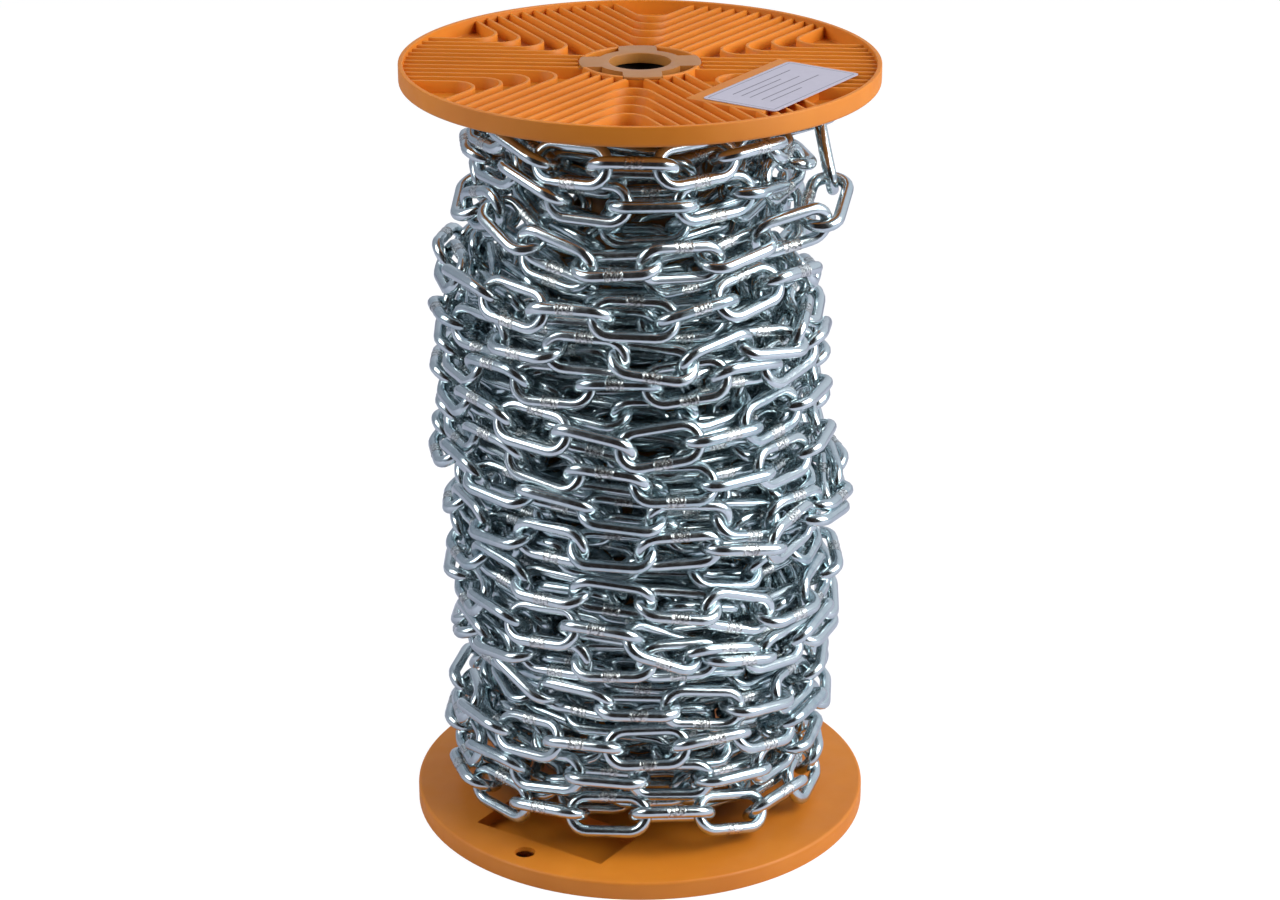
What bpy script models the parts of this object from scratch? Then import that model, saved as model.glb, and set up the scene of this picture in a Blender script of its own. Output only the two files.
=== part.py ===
"""A reel of welded steel link chain, standing on end.

Two moulded plastic flanges with a six-fold pattern of ribs sit on the ends of a plastic barrel.
The chain is wound on the barrel in several layers. The outermost layer is made link by link,
and the layers under it are one plain turned solid. Metres, +Z up, underside on Z = 0.
"""

import math

import bmesh
import bpy
import numpy as np
from mathutils import Matrix, Vector

MM = 0.001

# The reel
REEL_HEIGHT = 340.6 * MM
FLANGE_RADIUS = 100.0 * MM
FLANGE_HEIGHT = 8.4 * MM
FLANGE_SEGMENTS = 60
RIM_WALL = 2.0 * MM
WEB = 2.0 * MM
FIT_GAP = 0.3 * MM

# The ribs of a flange
RIB_WALL = 1.5 * MM
RIB_TOP = 7.0 * MM
RIB_STEP = 6.1 * MM
STRAIGHT_RIBS = 4
BENT_RIBS = 4
BEND_RADIUS = 8.8 * MM
BEND_STEPS = 3
SECTORS = 6

# The boss round the middle of a flange
BOSS_RADIUS = 25.3 * MM
BOSS_WALL = 1.7 * MM
BOSS_TOP = 7.4 * MM

# The raised panel on the ribs, with a shallow window in the smooth face behind it
PANEL_INNER = 45.6 * MM
PANEL_OUTER = 81.6 * MM
PANEL_HALF = 35.5 * MM
PANEL_TOP = 7.2 * MM
WINDOW_INNER = 48.0 * MM
WINDOW_OUTER = 79.0 * MM
WINDOW_HALF = 33.0 * MM
WINDOW_DEPTH = 5.8 * MM
HOLE_RADIUS = 4.5 * MM
HOLE_CENTRE = 88.8 * MM
HOLE_SEGMENTS = 16
TOP_PANEL_ANGLE = math.radians(-33.7)
BOTTOM_PANEL_ANGLE = math.radians(236.0)

# The label stuck on the panel of the upper flange
LABEL_LENGTH = 66.0 * MM
LABEL_INNER = 51.6 * MM
LABEL_OUTER = 85.8 * MM
LABEL_THICKNESS = 0.3 * MM
LABEL_GAP = 0.1 * MM

# The barrel
TUBE_RADIUS = 18.0 * MM
TUBE_BORE = 12.8 * MM
TUBE_SEGMENTS = 32
SPOKE_WIDTH = 16.0 * MM
SPOKE_TURN = math.radians(3.0)

# One link of the chain, as a square-cornered plate with a slot
WIRE = 5.0 * MM
LINK_LENGTH = 37.6 * MM
LINK_WIDTH = 20.0 * MM
JOINT_OVERLAP = 0.4 * MM
JOINT_SLACK = 2.4 * MM
LINK_PITCH = LINK_LENGTH - 2 * WIRE + JOINT_OVERLAP
WELD_DISTANCE = 0.01 * MM

# The winding: joints are where two links hang in each other
WIND_RADIUS = 76.0 * MM
BELLY = 3.6 * MM
BELLY_HEIGHT = 172.0 * MM
BELLY_SPREAD = 48.0 * MM
FIRST_ROW = 23.4 * MM
LAST_ROW = 320.2 * MM
TURNS = 17
ROW_PITCH = (LAST_ROW - FIRST_ROW) / (TURNS - 1)
START_ANGLE = math.radians(153.0)
STEP_START = 0.65
ROW_WAVE = 1.6 * MM
ROW_WAVE_SHIFT = 0.6
SLOW_UNEVENNESS = 1.0 * MM
SLOW_RATE = 14.3
QUICK_UNEVENNESS = 0.7 * MM
QUICK_RATE = 37.0
ROLL = math.radians(45.0)
ROLL_SWAY = math.radians(3.0)
SWAY_RATE = 1.7
PITCH_TRIES = 5

# How far out the joints lie on either side, as (height, radius) in mm from the lowest row up.
# The winding bulges low on the right and draws in at its top, behind the slack loop.
LEFT_SIDE = ((43, 77), (81, 73), (118, 76), (173, 82), (227, 80), (262, 79), (285, 66), (320, 63))
RIGHT_SIDE = (
    (43, 74), (81, 77), (118, 84), (155, 85), (180, 77), (227, 72), (245, 70), (262, 61), (285, 59), (320, 60)
)

# The plain solid under the outermost layer, its outside this far inside the joints
CORE_DEPTH = 11.8 * MM

# The slack loop that hangs outside the upper rows on one side
LOOP_JOINTS = (
    (math.radians(-4.0), 72.1 * MM, 315.0 * MM),
    (math.radians(-13.6), 81.4 * MM, 293.3 * MM),
    (math.radians(-30.9), 85.2 * MM, 284.2 * MM),
    (math.radians(-49.0), 86.0 * MM, 279.0 * MM),
)
LOOP_ROLLS = (0.0, math.radians(95.0), math.radians(8.0))

# Colours
ORANGE = (0.72, 0.22, 0.03, 1.0)
OCHRE = (0.60, 0.24, 0.03, 1.0)
ZINC = (0.62, 0.65, 0.68, 1.0)
SHADED_ZINC = (0.20, 0.22, 0.24, 1.0)
PAPER = (0.78, 0.76, 0.84, 1.0)


def clear_scene():
    """Remove the objects a new scene starts with."""
    for obj in list(bpy.data.objects):
        bpy.data.objects.remove(obj, do_unlink=True)


def new_collection(name, rendered=True):
    collection = bpy.data.collections.new(name)
    bpy.context.scene.collection.children.link(collection)
    collection.hide_render = not rendered
    return collection


def plain_material(name, colour, roughness, metallic=0.0):
    material = bpy.data.materials.new(name)
    material.use_nodes = True
    shader = material.node_tree.nodes["Principled BSDF"]
    shader.inputs["Base Color"].default_value = colour
    shader.inputs["Roughness"].default_value = roughness
    shader.inputs["Metallic"].default_value = metallic
    return material


def object_from(bm, name, collection):
    """Make an object of the built faces, all of them turned to face outwards."""
    bmesh.ops.recalc_face_normals(bm, faces=bm.faces)
    mesh = bpy.data.meshes.new(name)
    bm.to_mesh(mesh)
    bm.free()
    obj = bpy.data.objects.new(name, mesh)
    collection.objects.link(obj)
    return obj


def as_tool(obj):
    """Mark an object that only cuts or joins another one."""
    obj.hide_render = True
    obj.display_type = "WIRE"
    return obj


def combine(obj, other, operation):
    """Join another object to this one, or cut it out of it."""
    modifier = obj.modifiers.new(f"{operation.lower()} {other.name}", "BOOLEAN")
    modifier.operation = operation
    modifier.solver = "EXACT"
    modifier.object = other


def turned(name, profile, segments, collection):
    """Turn a closed profile of (radius, height) points, listed up its outer side, about the Z axis."""
    bm = bmesh.new()
    downwards = profile[::-1]
    points = [bm.verts.new((radius, 0, height)) for radius, height in downwards]
    for i in range(len(points)):
        bm.edges.new((points[i - 1], points[i]))
    obj = object_from(bm, name, collection)
    screw = obj.modifiers.new("turn", "SCREW")
    screw.steps = segments
    screw.render_steps = segments
    screw.use_merge_vertices = True
    screw.merge_threshold = WELD_DISTANCE
    return obj


def add_box(bm, low, high, angle=0.0):
    """Add a box between two corners, turned about the vertical axis."""
    low = Vector(low)
    high = Vector(high)
    size = Matrix.Diagonal((high - low).to_4d())
    place = Matrix.Rotation(angle, 4, "Z") @ Matrix.Translation((low + high) / 2) @ size
    bmesh.ops.create_cube(bm, size=1.0, matrix=place)


def add_sheet(bm, path, bottom, top):
    """Add an upright sheet that follows a path of points on the plan."""
    points = [bm.verts.new((point.x, point.y, bottom)) for point in path]
    edges = [bm.edges.new(pair) for pair in zip(points, points[1:])]
    raised = bmesh.ops.extrude_edge_only(bm, edges=edges)["geom"]
    upper = [item for item in raised if isinstance(item, bmesh.types.BMVert)]
    bmesh.ops.translate(bm, verts=upper, vec=(0, 0, top - bottom))


def on_plan(angle, along, across):
    """A point on the plan, measured along and across the direction of an angle."""
    turn = Matrix.Rotation(angle, 2)
    return turn @ Vector((along, across))


def reach(radius, offset):
    """How far along a line, this far beside the middle, a circle is met."""
    return math.sqrt(radius * radius - offset * offset)


def straight_rib(angle, offset):
    """A rib from the boss to the rim, parallel to the direction of an angle."""
    start = on_plan(angle, reach(BOSS_RADIUS - BOSS_WALL / 2, offset), offset)
    end = on_plan(angle, reach(FLANGE_RADIUS - RIM_WALL / 2, offset), offset)
    return [start, end]


def bent_rib(angle, offset):
    """Two ribs that meet at a rounded bend on the border at this angle."""
    half = math.pi / SECTORS
    start = on_plan(angle - half, reach(FLANGE_RADIUS - RIM_WALL / 2, offset), offset)
    end = on_plan(angle + half, reach(FLANGE_RADIUS - RIM_WALL / 2, offset), -offset)
    centre = (offset + BEND_RADIUS) / math.sin(half)
    bend = []
    for i in range(BEND_STEPS + 1):
        swing = (math.pi / 2 - half) * (2 * i / BEND_STEPS - 1)
        point = (centre - BEND_RADIUS * math.cos(swing), BEND_RADIUS * math.sin(swing))
        bend.append(on_plan(angle, *point))
    return [start, *bend, end]


def rib_paths():
    """The middle line of each rib of a flange, with a border between sectors at angle 0."""
    step = 2 * math.pi / SECTORS
    for sector in range(SECTORS):
        for i in range(STRAIGHT_RIBS):
            offset = RIB_STEP * (i + 0.5 - STRAIGHT_RIBS / 2)
            yield straight_rib((sector + 0.5) * step, offset)
        for i in range(BENT_RIBS):
            yield bent_rib(sector * step, RIB_STEP * (i + 0.5 + STRAIGHT_RIBS / 2))


def flange_ribs(name, tools):
    bm = bmesh.new()
    for path in rib_paths():
        add_sheet(bm, path, WEB / 2, RIB_TOP)
    ribs = as_tool(object_from(bm, name, tools))
    thicken = ribs.modifiers.new("thickness", "SOLIDIFY")
    thicken.thickness = RIB_WALL
    thicken.offset = 0.0
    thicken.use_even_offset = True
    return ribs


def flange_panel(name, tools):
    bm = bmesh.new()
    add_box(bm, (PANEL_INNER, -PANEL_HALF, WEB / 3), (PANEL_OUTER, PANEL_HALF, PANEL_TOP))
    return as_tool(object_from(bm, name, tools))


def flange_openings(name, tools):
    """The window behind the panel and the round hole outside it."""
    bm = bmesh.new()
    add_box(bm, (WINDOW_INNER, -WINDOW_HALF, -WEB), (WINDOW_OUTER, WINDOW_HALF, WINDOW_DEPTH))
    bmesh.ops.create_cone(
        bm,
        cap_ends=True,
        segments=HOLE_SEGMENTS,
        radius1=HOLE_RADIUS,
        radius2=HOLE_RADIUS,
        depth=4 * WEB,
        matrix=Matrix.Translation((HOLE_CENTRE, 0, WEB / 2)),
    )
    return as_tool(object_from(bm, name, tools))


def make_flange(name, material, collection, tools):
    """A flange with its smooth face on Z = 0 and its ribs above, the panel toward +X."""
    rim_inside = FLANGE_RADIUS - RIM_WALL
    boss_inside = BOSS_RADIUS - BOSS_WALL
    profile = (
        (boss_inside, 0),
        (FLANGE_RADIUS, 0),
        (FLANGE_RADIUS, FLANGE_HEIGHT),
        (rim_inside, FLANGE_HEIGHT),
        (rim_inside, WEB),
        (BOSS_RADIUS, WEB),
        (BOSS_RADIUS, BOSS_TOP),
        (boss_inside, BOSS_TOP),
    )
    flange = turned(name, profile, FLANGE_SEGMENTS, collection)
    combine(flange, flange_ribs(f"{name} ribs", tools), "UNION")
    combine(flange, flange_panel(f"{name} panel", tools), "UNION")
    combine(flange, flange_openings(f"{name} openings", tools), "DIFFERENCE")
    flange.data.materials.append(material)
    return flange


def place_flange(flange, matrix):
    """Move a flange together with the objects that cut and join it."""
    flange.matrix_world = matrix
    for modifier in flange.modifiers:
        if modifier.type == "BOOLEAN":
            modifier.object.matrix_world = matrix


def make_flanges(material, collection, tools):
    top = make_flange("flange_top", material, collection, tools)
    lift = Matrix.Translation((0, 0, REEL_HEIGHT - FLANGE_HEIGHT))
    place_flange(top, lift @ Matrix.Rotation(TOP_PANEL_ANGLE, 4, "Z"))
    bottom = make_flange("flange_bottom", material, collection, tools)
    flip = Matrix.Rotation(math.pi, 4, "X")
    lift = Matrix.Translation((0, 0, FLANGE_HEIGHT))
    place_flange(bottom, lift @ Matrix.Rotation(BOTTOM_PANEL_ANGLE, 4, "Z") @ flip)


def make_label(material, collection):
    bottom = REEL_HEIGHT - FLANGE_HEIGHT + PANEL_TOP + LABEL_GAP
    bm = bmesh.new()
    low = (LABEL_INNER, -LABEL_LENGTH / 2, bottom)
    high = (LABEL_OUTER, LABEL_LENGTH / 2, bottom + LABEL_THICKNESS)
    add_box(bm, low, high, TOP_PANEL_ANGLE)
    label = object_from(bm, "label", collection)
    label.data.materials.append(material)


def barrel_slots(tools):
    """The four long hollows of the barrel, with a spoke left between each two of them."""
    length = REEL_HEIGHT + 2 * FLANGE_HEIGHT
    low = -FLANGE_HEIGHT
    high = low + length
    sleeve_inside = BOSS_RADIUS - BOSS_WALL
    profile = ((TUBE_RADIUS, low), (sleeve_inside, low), (sleeve_inside, high), (TUBE_RADIUS, high))
    slots = as_tool(turned("barrel slots", profile, TUBE_SEGMENTS, tools))
    bm = bmesh.new()
    for quarter in range(4):
        near = (TUBE_BORE, -SPOKE_WIDTH / 2, low - FLANGE_HEIGHT)
        far = (2 * BOSS_RADIUS, SPOKE_WIDTH / 2, high + FLANGE_HEIGHT)
        add_box(bm, near, far, quarter * math.pi / 2 + SPOKE_TURN)
    combine(slots, as_tool(object_from(bm, "barrel spokes", tools)), "DIFFERENCE")
    return slots


def make_barrel(material, collection, tools):
    """A tube in a sleeve, joined by four spokes. The boss of a flange fits round each end of it."""
    end = FLANGE_HEIGHT - BOSS_TOP
    neck = BOSS_RADIUS - BOSS_WALL - FIT_GAP
    shoulder = FLANGE_HEIGHT + FIT_GAP
    profile = (
        (TUBE_BORE, end),
        (neck, end),
        (neck, shoulder),
        (BOSS_RADIUS, shoulder),
        (BOSS_RADIUS, REEL_HEIGHT - shoulder),
        (neck, REEL_HEIGHT - shoulder),
        (neck, REEL_HEIGHT - end),
        (TUBE_BORE, REEL_HEIGHT - end),
    )
    barrel = turned("barrel", profile, TUBE_SEGMENTS, collection)
    combine(barrel, barrel_slots(tools), "DIFFERENCE")
    barrel.data.materials.append(material)


def make_inner_layers(material, collection):
    """The chain under the outermost layer, as one turned solid that keeps inside it all round."""
    low = FLANGE_HEIGHT + FIT_GAP
    high = REEL_HEIGHT - low
    inside = BOSS_RADIUS + FIT_GAP
    profile = [(inside, low)]
    for height in (low, *(height * MM for height, _ in RIGHT_SIDE), high):
        narrowest = min(winding_radius(angle, height) for angle in (0.0, math.pi / 2, math.pi))
        profile.append((narrowest - CORE_DEPTH, height))
    profile.append((inside, high))
    core = turned("chain_inner_layers", profile, TUBE_SEGMENTS, collection)
    core.data.materials.append(material)


def bump(value, middle, spread):
    """A smooth rise to 1 at the middle."""
    return math.exp(-(((value - middle) / spread) ** 2))


def smooth_step(share):
    share = min(max(share, 0.0), 1.0)
    return share * share * (3 - 2 * share)


def at(angle, radius, height):
    return Vector((radius * math.cos(angle), radius * math.sin(angle), height))


def winding_radius(angle, height):
    """How far out the joints lie: round in front and behind, and uneven at the sides."""
    front = WIND_RADIUS + BELLY * bump(height, BELLY_HEIGHT, BELLY_SPREAD)
    side = math.cos(angle)
    heights, radii = zip(*(RIGHT_SIDE if side > 0 else LEFT_SIDE))
    beside = float(np.interp(height / MM, heights, radii)) * MM
    return front + (beside - front) * side * side


def winding_point(turn):
    """Where the joints run after so many turns. Each turn lies level, then climbs to the next."""
    angle = START_ANGLE + 2 * math.pi * turn
    row = math.floor(turn)
    climb = smooth_step((turn - row - STEP_START) / (1 - STEP_START))
    height = FIRST_ROW + ROW_PITCH * (row + climb)
    height += ROW_WAVE * math.sin(2 * angle + ROW_WAVE_SHIFT) * math.sin(math.pi * turn / TURNS)
    radius = winding_radius(angle, height)
    radius += SLOW_UNEVENNESS * math.sin(SLOW_RATE * turn)
    radius += QUICK_UNEVENNESS * math.sin(QUICK_RATE * turn)
    return at(angle, radius, height)


def turn_after(turn, distance):
    """The turn at which the winding is this far from where it was, forwards or back."""
    start = winding_point(turn)
    step = distance / (2 * math.pi * WIND_RADIUS)
    for _ in range(PITCH_TRIES):
        step *= abs(distance) / (winding_point(turn + step) - start).length
    return turn + step


def link_placement(start, end, roll):
    """The place of a link between two joints, rolled from lying flat on the barrel."""
    along = (end - start).normalized()
    middle = (start + end) / 2
    outward = Vector((middle.x, middle.y, 0))
    outward = (outward - outward.dot(along) * along).normalized()
    upward = outward.cross(along)
    frame = Matrix((along, upward, outward)).transposed().to_4x4()
    return Matrix.Translation(middle) @ frame @ Matrix.Rotation(roll, 4, "X")


def add_rectangle(curve, length, width):
    spline = curve.splines.new("POLY")
    spline.points.add(3)
    corners = ((1, 1), (-1, 1), (-1, -1), (1, -1))
    for point, (x, y) in zip(spline.points, corners):
        point.co = (x * length / 2, y * width / 2, 0, 1)
    spline.use_cyclic_u = True


def link_mesh():
    """One link: a flat frame round a slot, as thick as the wire."""
    curve = bpy.data.curves.new("link outline", "CURVE")
    curve.dimensions = "2D"
    curve.fill_mode = "BOTH"
    curve.extrude = WIRE / 2
    add_rectangle(curve, LINK_LENGTH, LINK_WIDTH)
    add_rectangle(curve, LINK_LENGTH - 2 * WIRE, LINK_WIDTH - 2 * WIRE)
    guide = bpy.data.objects.new("link outline", curve)
    bpy.context.scene.collection.objects.link(guide)
    evaluated = guide.evaluated_get(bpy.context.evaluated_depsgraph_get())
    mesh = bpy.data.meshes.new_from_object(evaluated)
    bpy.data.objects.remove(guide, do_unlink=True)
    bm = bmesh.new()
    bm.from_mesh(mesh)
    bmesh.ops.remove_doubles(bm, verts=bm.verts, dist=WELD_DISTANCE)
    bm.to_mesh(mesh)
    bm.free()
    return mesh


def add_copy(bm, mesh, placement):
    """Add a copy of a mesh to those already built."""
    before = len(bm.verts)
    bm.from_mesh(mesh)
    bm.verts.ensure_lookup_table()
    bmesh.ops.transform(bm, matrix=placement, verts=bm.verts[before:])


def make_chain(name, link, placements, material, collection, tools):
    """One run of links: every other link joined to those between them."""
    objects = []
    for first, owner in ((0, collection), (1, tools)):
        bm = bmesh.new()
        for placement in placements[first::2]:
            add_copy(bm, link, placement)
        objects.append(object_from(bm, name if first == 0 else f"{name} between", owner))
    chain, between = objects
    combine(chain, as_tool(between), "UNION")
    chain.data.materials.append(material)


def link_roll(index):
    """Links lean to one side and the other in turn, and not all by the same amount."""
    lean = ROLL if index % 2 == 0 else -ROLL
    return lean + ROLL_SWAY * math.sin(SWAY_RATE * index)


def make_turns(link, material, collection, tools):
    """The outermost layer, one object for each turn of it. The last turn ends where it would climb."""
    turn = 0.0
    index = 0
    for row in range(TURNS):
        last = min(row + 1, TURNS - 1 + STEP_START)
        placements = []
        following = turn_after(turn, LINK_PITCH)
        while following < last:
            ends = (winding_point(turn), winding_point(following))
            placements.append(link_placement(*ends, link_roll(index)))
            index += 1
            turn = following
            following = turn_after(turn, LINK_PITCH)
        name = f"chain_turn_{row + 1:02d}"
        make_chain(name, link, placements, material, collection, tools)
        turn = turn_after(turn, -JOINT_SLACK)


def make_loop(link, material, collection, tools):
    """The slack links that hang outside the upper rows."""
    joints = [at(*joint) for joint in LOOP_JOINTS]
    placements = [
        link_placement(start, end, roll)
        for start, end, roll in zip(joints, joints[1:], LOOP_ROLLS)
    ]
    make_chain("chain_loose_loop", link, placements, material, collection, tools)


def main():
    clear_scene()
    reel = new_collection("chain reel")
    tools = new_collection("tools", rendered=False)
    orange = plain_material("orange plastic", ORANGE, 0.42)
    ochre = plain_material("ochre plastic", OCHRE, 0.35)
    zinc = plain_material("zinc plated steel", ZINC, 0.22, 1.0)
    shaded = plain_material("zinc plated steel in shade", SHADED_ZINC, 0.4, 1.0)
    paper = plain_material("label paper", PAPER, 0.6)
    make_flanges(orange, reel, tools)
    make_label(paper, reel)
    make_barrel(ochre, reel, tools)
    make_inner_layers(shaded, reel)
    link = link_mesh()
    make_turns(link, zinc, reel, tools)
    make_loop(link, zinc, reel, tools)


main()
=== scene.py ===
"""Looks of a reel of welded steel link chain, standing on end.

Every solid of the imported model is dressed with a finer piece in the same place: the two ribbed
flanges, the barrel, the blank sticker, each turn of chain with real links of round wire that hang in
each other, the slack loop, and four deeper layers of links in place of the plain inner solid.
"""

import math

import bmesh
import bpy
import numpy as np
from mathutils import Matrix, Vector


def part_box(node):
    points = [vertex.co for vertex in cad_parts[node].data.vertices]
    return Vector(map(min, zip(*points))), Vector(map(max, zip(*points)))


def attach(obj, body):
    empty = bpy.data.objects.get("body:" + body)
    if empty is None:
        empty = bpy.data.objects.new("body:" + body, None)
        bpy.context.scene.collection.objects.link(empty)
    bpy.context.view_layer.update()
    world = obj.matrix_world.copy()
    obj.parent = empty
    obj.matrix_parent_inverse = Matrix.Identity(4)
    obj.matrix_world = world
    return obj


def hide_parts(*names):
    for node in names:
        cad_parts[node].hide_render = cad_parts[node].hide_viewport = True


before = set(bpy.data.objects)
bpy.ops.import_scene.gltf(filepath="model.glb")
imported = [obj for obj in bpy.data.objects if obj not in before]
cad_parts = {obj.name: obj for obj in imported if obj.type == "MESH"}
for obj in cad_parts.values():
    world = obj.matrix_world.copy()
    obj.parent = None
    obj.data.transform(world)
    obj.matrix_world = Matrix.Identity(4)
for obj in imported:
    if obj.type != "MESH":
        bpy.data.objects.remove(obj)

MM = 0.001
DEGREE = math.radians(1.0)
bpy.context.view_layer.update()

# The reel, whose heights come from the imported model
REEL_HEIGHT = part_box("flange_top")[1].z
FLANGE_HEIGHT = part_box("flange_bottom")[1].z
FLANGE_RADIUS = 100.0 * MM
FLANGE_SEGMENTS = 144
RIM_WALL = 2.0 * MM
WEB = 2.0 * MM

# How edges are rounded, the most of a side that a corner takes, and from what angle on an edge is sharp
EDGE = 0.45 * MM
EDGE_STEPS = 3
SHOULDER = 1.6 * MM
SHOULDER_STEPS = 5
LABEL_CORNER_STEPS = 6
CORNER_SHARE = 0.45
SHARP_ANGLE = 30.0 * DEGREE

# The ribs of a flange
RIB_WALL = 1.5 * MM
RIB_TOP = 7.0 * MM
RIB_DRAFT = 0.15 * MM
RIB_CORNER = 0.35 * MM
RIB_CORNER_MIDDLE = 0.3 * RIB_CORNER
LEAST_MITRE = 0.5
RIB_STEP = 6.1 * MM
STRAIGHT_RIBS = 4
BENT_RIBS = 4
BEND_RADIUS = 8.8 * MM
BEND_STEPS = 14
SECTORS = 6

# The boss, panel, window and hole of a flange
BOSS_RADIUS = 25.3 * MM
BOSS_WALL = 1.7 * MM
BOSS_TOP = 7.4 * MM
PANEL_INNER = 45.6 * MM
PANEL_OUTER = 81.6 * MM
PANEL_HALF = 35.5 * MM
PANEL_TOP = 7.2 * MM
WINDOW_INNER = 48.0 * MM
WINDOW_OUTER = 79.0 * MM
WINDOW_HALF = 33.0 * MM
WINDOW_DEPTH = 5.8 * MM
HOLE_RADIUS = 4.5 * MM
HOLE_CENTRE = 88.8 * MM
HOLE_SEGMENTS = 40
TOP_PANEL_ANGLE = -33.7 * DEGREE
BOTTOM_PANEL_ANGLE = 236.0 * DEGREE

# The sticker
LABEL_LENGTH = 66.0 * MM
LABEL_INNER = 51.6 * MM
LABEL_OUTER = 85.8 * MM
LABEL_THICKNESS = 0.3 * MM
LABEL_GAP = 0.1 * MM
LABEL_CORNER = 2.4 * MM
FRAME_MARGIN = 1.8 * MM
FRAME_HALF = 0.18 * MM
LINE_HALF = 0.3 * MM

# The ruled lines of the sticker in mm: their place across it, and their start and end along it
RULED_LINES = ((-9.5, -22, 22), (-5.5, -22, 8), (-1.5, -22, 16), (4.0, -22, 22), (8.0, -22, 2))

# The barrel
TUBE_RADIUS = 18.0 * MM
TUBE_BORE = 12.8 * MM
FIT_GAP = 0.3 * MM
BARREL_SEGMENTS = 96
SPOKE_WIDTH = 16.0 * MM
LUG_DEPTH = 1.2 * MM
BORE_LIP = 4.4 * MM
BORE_UNDERCUT = 2.4 * MM
SPOKE_TURN = 3.0 * DEGREE

# One link of the chain
WIRE = 5.2 * MM
LINK_LENGTH = 38.2 * MM
LINK_WIDTH = 20.0 * MM
LINK_PITCH = LINK_LENGTH - 2 * WIRE
END_FULLNESS = 2.05
WELD_HALF = 3.5 * MM
WELD_RIDGE = 0.12 * MM
WELD_SWELL = 0.03 * MM
WELD_ROUGHNESS = 0.05 * MM
WELD_VARIANTS = 5
HIDDEN_WELD_VARIANTS = 2

# The rings of points at a weld in mm: about each of its two edges, and between them. A ring nearer
# to an edge than the crest's width carries the ridge.
WELD_EDGE_RINGS = (-0.7, -0.4, -0.15, 0.15, 0.4, 0.7)
WELD_INNER_RINGS = (-2.2, -1.1, 0.0, 1.1, 2.2)
WELD_CREST = 0.2 * MM

# How finely links are made: the steps round each end and along each leg, and the points round the wire
FINE_LINK = (12, 3, 14)
MIDDLING_LINK = (9, 2, 10)
COARSE_LINK = (7, 2, 8)

# The run of the chain: joints are where two links hang in each other
TURNS = 17
FRONT_ANGLE = -90.0 * DEGREE
TURN_CUT = -207.0 * DEGREE
WIND_RADIUS = 76.0 * MM
BELLY = 3.6 * MM
BELLY_HEIGHT = 172.0 * MM
BELLY_SPREAD = 48.0 * MM
LAYER_STEP = 11.0 * MM
LEAST_RADIUS = BOSS_RADIUS + 8.5 * MM
STEP_START = 0.65
ROW_WAVE = 1.6 * MM
ROW_WAVE_RATE = 7.9
SLOW_UNEVENNESS = 1.2 * MM
SLOW_RATE = 17.3
ROLL = 45.0 * DEGREE
WANDER = 20.0 * DEGREE
WANDER_RATE = 0.37

# The layers under the outermost one: name, rows, where their first and last row lie among those of
# the outermost layer, direction of winding, angle of their first joint, and the phase of their
# links' lean. The winding draws in at its top, where it has no room for the deepest ones.
DEEPER_LAYERS = (
    ("second_layer_links", 16, 0.5, 15.5, -1, 100.0 * DEGREE, 0.0),
    ("third_layer_links", 16, 0.0, 16.0, 1, 60.0 * DEGREE, 2.0),
    ("fourth_layer_links", 13, 0.5, 14.0, -1, 0.0, 4.0),
    ("fifth_layer_links", 8, 3.5, 11.5, 1, 200.0 * DEGREE, 1.0),
)

# How far out the joints lie on either side, as (height, radius) in mm from the lowest row up
LEFT_SIDE = ((43, 77), (81, 73), (118, 76), (173, 82), (227, 80), (262, 79), (285, 66), (320, 63))
RIGHT_SIDE = (
    (43, 74), (81, 77), (118, 84), (155, 85), (180, 77),
    (227, 72), (245, 70), (262, 61), (285, 59), (320, 60),
)

# The front of each row from the lowest up, measured at its joints: degrees to the right of the
# middle, and height in mm
FRONT_ROWS = (
    ((-62, 25), (-42, 24), (-21, 26), (0, 28), (21, 26), (42, 20)),
    ((-45, 40), (-22, 45), (1, 44), (22, 44), (43, 40)),
    ((-49, 54), (-29, 58), (-8, 60), (13, 60), (34, 60)),
    ((-53, 88), (-32, 83), (-12, 80), (9, 79), (29, 77), (50, 68)),
    ((-41, 95), (-21, 99), (0, 103), (20, 103), (41, 92)),
    ((-44, 111), (-23, 113), (-2, 114), (18, 107), (38, 95)),
    ((-61, 135), (-40, 130), (-20, 131), (1, 129), (22, 122), (42, 111)),
    ((-60, 146), (-40, 154), (-21, 155), (0, 155), (21, 155), (42, 150)),
    ((-56, 176), (-37, 179), (-17, 175), (3, 166), (23, 166), (43, 158), (63, 152)),
    ((-40, 192), (-19, 183), (2, 178), (23, 177), (44, 179)),
    ((-43, 206), (-24, 202), (-4, 201), (16, 201), (37, 202)),
    ((-38, 220), (-17, 223), (4, 223), (25, 223), (46, 224)),
    ((-66, 233), (-46, 234), (-26, 236), (-5, 237), (15, 237), (36, 235), (57, 235)),
    ((-50, 256), (-31, 253), (-11, 254), (9, 253), (29, 257), (50, 257)),
    ((-56, 285), (-37, 282), (-17, 277), (3, 277), (23, 277), (42, 277)),
    ((-49, 308), (-27, 302), (-6, 302), (15, 301), (37, 302), (58, 301)),
    ((-53, 319), (-33, 317), (-12, 317), (8, 317), (29, 318)),
)

# The roll of each row's first link in degrees, from lying flat on the barrel
ROW_ROLLS = (-22, -22, -22, -80, 20, -22, 22, -68, -68, -22, -22, -22, -5, -22, -70, 68, 68)

# The slack loop, which leaves the row of this number and joins the end of the top row
LOOP_ROW = 14
LOOP_JOINTS = ((-30.9 * DEGREE, 85.2 * MM, 284.2 * MM), (-13.6 * DEGREE, 81.4 * MM, 293.3 * MM))
LOOP_TOP = (-4.0 * DEGREE, 72.1 * MM, 315.0 * MM)
LOOP_ROLLS = (8.0 * DEGREE, 95.0 * DEGREE, 0.0)

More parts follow.
